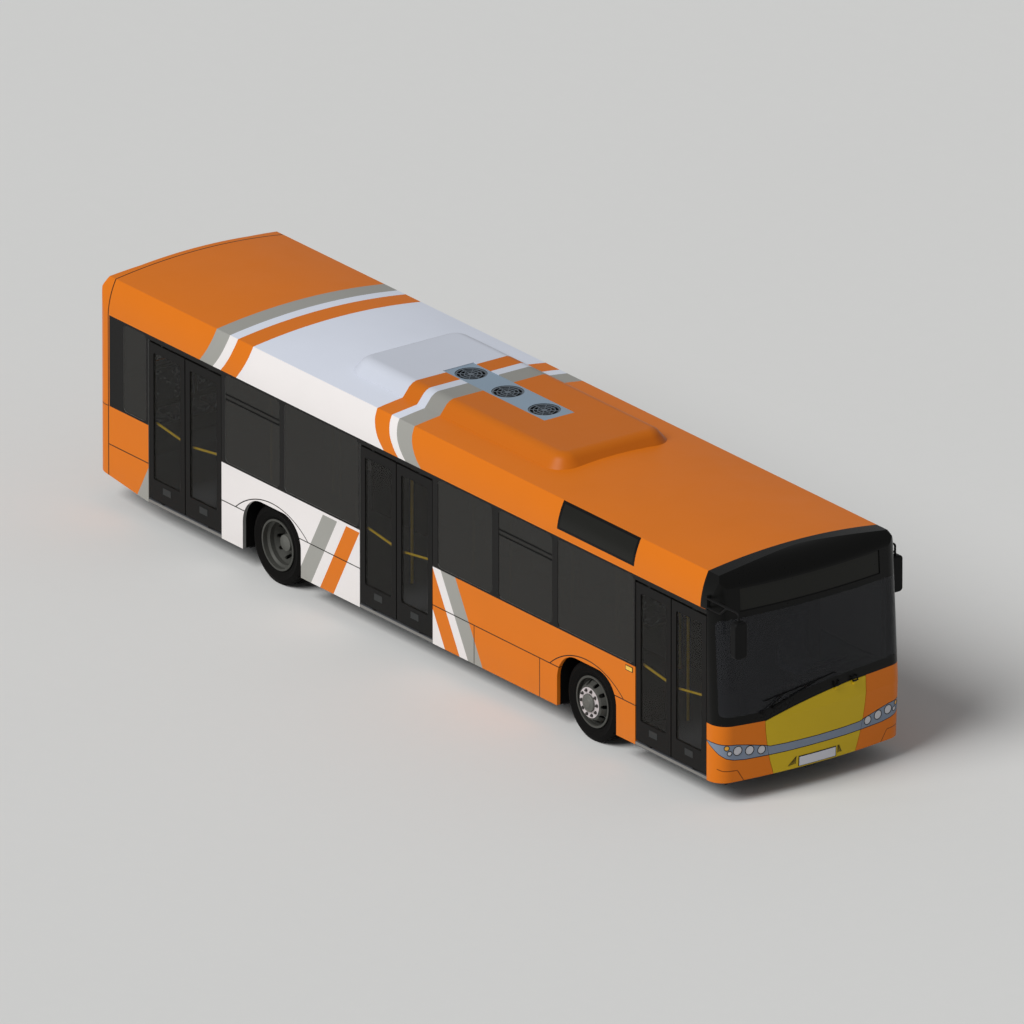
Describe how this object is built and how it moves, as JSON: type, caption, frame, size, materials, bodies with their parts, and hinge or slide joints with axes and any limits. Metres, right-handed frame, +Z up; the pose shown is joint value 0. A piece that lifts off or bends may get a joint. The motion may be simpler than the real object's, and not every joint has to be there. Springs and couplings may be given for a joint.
{
  "type": "airport passenger bus",
  "caption": "Low-floor airport passenger bus with three double doors on the right side, twin rear wheels, steered front wheels and a roof unit.",
  "frame": {"origin": "ground level under the middle of the bus's length and width, mirrors included", "axes": "+X forward, +Y to the bus's left, +Z up"},
  "size_m": [12.139, 2.817, 2.895],
  "materials": {
    "frame_steel": "satin",
    "floor": "fine studded sheet",
    "body_paint": "gloss",
    "roof_paint": "gloss",
    "pod_paint": "satin",
    "rear_paint": "gloss",
    "lid_paint": "gloss",
    "box_lining": "matt",
    "engine_iron": "rough",
    "mask_black": "gloss",
    "front_paint": "gloss",
    "flap_yellow": "gloss",
    "screen_glass": "laminated, clear",
    "tinted_glass": "dark tint",
    "trim_grey": "satin",
    "dash_plastic": "grained",
    "wheel_rubber": "grained",
    "seat_fabric": "woven",
    "pole_yellow": "powder coat",
    "mirror_black": "grained",
    "lamp_lens": "clear lens",
    "wiper_black": "matt",
    "grille_dark": "satin",
    "axle_iron": "cast",
    "tyre": "matt",
    "rim_steel": "silver satin",
    "post_black": "satin",
    "door_black": "gloss",
    "door_glass": "dark tint"
  },
  "bodies": {
    "body": {"chassis_frame": "frame_steel", "chassis_ends": "frame_steel", "floor_deck": "floor", "wheel_boxes": "box_lining", "engine_deck": "floor", "front_bulkhead": "dash_plastic", "side_wall_right": "body_paint", "side_wall_left": "body_paint", "roof_shell": "roof_paint", "roof_pod": "pod_paint", "rear_wall": "rear_paint", "engine_block": "engine_iron", "front_mask": "mask_black", "front_lower": "front_paint", "windscreen": "screen_glass", "saloon_glass": "tinted_glass", "door_headers": "trim_grey", "driver_station": "dash_plastic", "driver_seat": "seat_fabric", "passenger_seats": "seat_fabric", "grab_poles": "pole_yellow", "mirrors": "mirror_black", "lamps": "lamp_lens", "wiper": "wiper_black", "fan_grilles": "grille_dark", "front_axle": "axle_iron", "rear_axle": "axle_iron"},
    "steering_left": {"knuckle_left": "axle_iron"},
    "steering_right": {"knuckle_right": "axle_iron"},
    "steering_wheel": {"steering_wheel": "wheel_rubber"},
    "front_flap": {"front_flap": "flap_yellow"},
    "engine_lid": {"engine_lid": "lid_paint"},
    "wheel_front_left": {"tyre_front_left": "tyre", "rim_front_left": "rim_steel"},
    "wheels_rear_left": {"tyres_rear_left": "tyre", "rims_rear_left": "rim_steel"},
    "wheel_front_right": {"tyre_front_right": "tyre", "rim_front_right": "rim_steel"},
    "wheels_rear_right": {"tyres_rear_right": "tyre", "rims_rear_right": "rim_steel"},
    "door_post_rear_a": {"door_post_rear_a": "post_black"},
    "door_leaf_rear_a": {"door_leaf_rear_a": "door_black", "door_glass_rear_a": "door_glass"},
    "door_post_rear_b": {"door_post_rear_b": "post_black"},
    "door_leaf_rear_b": {"door_leaf_rear_b": "door_black", "door_glass_rear_b": "door_glass"},
    "door_post_middle_a": {"door_post_middle_a": "post_black"},
    "door_leaf_middle_a": {"door_leaf_middle_a": "door_black", "door_glass_middle_a": "door_glass"},
    "door_post_middle_b": {"door_post_middle_b": "post_black"},
    "door_leaf_middle_b": {"door_leaf_middle_b": "door_black", "door_glass_middle_b": "door_glass"},
    "door_post_front_a": {"door_post_front_a": "post_black"},
    "door_leaf_front_a": {"door_leaf_front_a": "door_black", "door_glass_front_a": "door_glass"},
    "door_post_front_b": {"door_post_front_b": "post_black"},
    "door_leaf_front_b": {"door_leaf_front_b": "door_black", "door_glass_front_b": "door_glass"}
  },
  "joints": [
    {"name": "steer_left", "type": "hinge", "parent": "body", "child": "steering_left", "pos_m": [3.15, 1, 0.465], "axis": [0, 0, 1], "range_deg": [-50, 50]},
    {"name": "wheel_front_left", "type": "hinge", "parent": "steering_left", "child": "wheel_front_left", "pos_m": [3.15, 1.078, 0.465], "axis": [0, 1, 0], "continuous": true},
    {"name": "wheels_rear_left", "type": "hinge", "parent": "body", "child": "wheels_rear_left", "pos_m": [-2.75, 1.078, 0.465], "axis": [0, 1, 0], "continuous": true},
    {"name": "steer_right", "type": "hinge", "parent": "body", "child": "steering_right", "pos_m": [3.15, -1, 0.465], "axis": [0, 0, 1], "range_deg": [-50, 50]},
    {"name": "wheel_front_right", "type": "hinge", "parent": "steering_right", "child": "wheel_front_right", "pos_m": [3.15, -1.078, 0.465], "axis": [0, 1, 0], "continuous": true},
    {"name": "wheels_rear_right", "type": "hinge", "parent": "body", "child": "wheels_rear_right", "pos_m": [-2.75, -1.078, 0.465], "axis": [0, 1, 0], "continuous": true},
    {"name": "steering_wheel", "type": "hinge", "parent": "body", "child": "steering_wheel", "pos_m": [5.13, 0.64, 0.96], "axis": [-0.5299, 0, 0.848], "range_deg": [-450, 450]},
    {"name": "front_flap", "type": "hinge", "parent": "body", "child": "front_flap", "pos_m": [5.721, 0, 1.14], "axis": [0, -1, 0], "range_deg": [0, 85]},
    {"name": "engine_lid", "type": "hinge", "parent": "body", "child": "engine_lid", "pos_m": [-6.094, 0, 1.1], "axis": [0, 1, 0], "range_deg": [0, 80]},
    {"name": "door_rear_a", "type": "hinge", "parent": "body", "child": "door_post_rear_a", "pos_m": [-5.103, -1.194, 1.2], "axis": [0, 0, 1], "range_deg": [0, 90]},
    {"name": "door_fold_rear_a", "type": "hinge", "parent": "door_post_rear_a", "child": "door_leaf_rear_a", "pos_m": [-4.828, -1.254, 1.2], "axis": [0, 0, -1], "range_deg": [0, 180]},
    {"name": "door_rear_b", "type": "hinge", "parent": "body", "child": "door_post_rear_b", "pos_m": [-3.687, -1.194, 1.2], "axis": [0, 0, -1], "range_deg": [0, 90]},
    {"name": "door_fold_rear_b", "type": "hinge", "parent": "door_post_rear_b", "child": "door_leaf_rear_b", "pos_m": [-3.962, -1.254, 1.2], "axis": [0, 0, 1], "range_deg": [0, 180]},
    {"name": "door_middle_a", "type": "hinge", "parent": "body", "child": "door_post_middle_a", "pos_m": [-1.103, -1.194, 1.2], "axis": [0, 0, 1], "range_deg": [0, 90]},
    {"name": "door_fold_middle_a", "type": "hinge", "parent": "door_post_middle_a", "child": "door_leaf_middle_a", "pos_m": [-0.828, -1.254, 1.2], "axis": [0, 0, -1], "range_deg": [0, 180]},
    {"name": "door_middle_b", "type": "hinge", "parent": "body", "child": "door_post_middle_b", "pos_m": [0.293, -1.194, 1.2], "axis": [0, 0, -1], "range_deg": [0, 90]},
    {"name": "door_fold_middle_b", "type": "hinge", "parent": "door_post_middle_b", "child": "door_leaf_middle_b", "pos_m": [0.018, -1.254, 1.2], "axis": [0, 0, 1], "range_deg": [0, 180]},
    {"name": "door_front_a", "type": "hinge", "parent": "body", "child": "door_post_front_a", "pos_m": [4.037, -1.194, 1.2], "axis": [0, 0, 1], "range_deg": [0, 90]},
    {"name": "door_fold_front_a", "type": "hinge", "parent": "door_post_front_a", "child": "door_leaf_front_a", "pos_m": [4.312, -1.254, 1.2], "axis": [0, 0, -1], "range_deg": [0, 180]},
    {"name": "door_front_b", "type": "hinge", "parent": "body", "child": "door_post_front_b", "pos_m": [5.383, -1.194, 1.2], "axis": [0, 0, -1], "range_deg": [0, 90]},
    {"name": "door_fold_front_b", "type": "hinge", "parent": "door_post_front_b", "child": "door_leaf_front_b", "pos_m": [5.108, -1.254, 1.2], "axis": [0, 0, 1], "range_deg": [0, 180]}
  ],
  "couplings": [
    {"joint": "steer_right", "follows": "steer_left", "ratio": 1},
    {"joint": "steering_wheel", "follows": "steer_left", "ratio": 9},
    {"joint": "door_fold_rear_a", "follows": "door_rear_a", "ratio": 2},
    {"joint": "door_fold_rear_b", "follows": "door_rear_b", "ratio": 2},
    {"joint": "door_fold_middle_a", "follows": "door_middle_a", "ratio": 2},
    {"joint": "door_fold_middle_b", "follows": "door_middle_b", "ratio": 2},
    {"joint": "door_fold_front_a", "follows": "door_front_a", "ratio": 2},
    {"joint": "door_fold_front_b", "follows": "door_front_b", "ratio": 2}
  ]
}
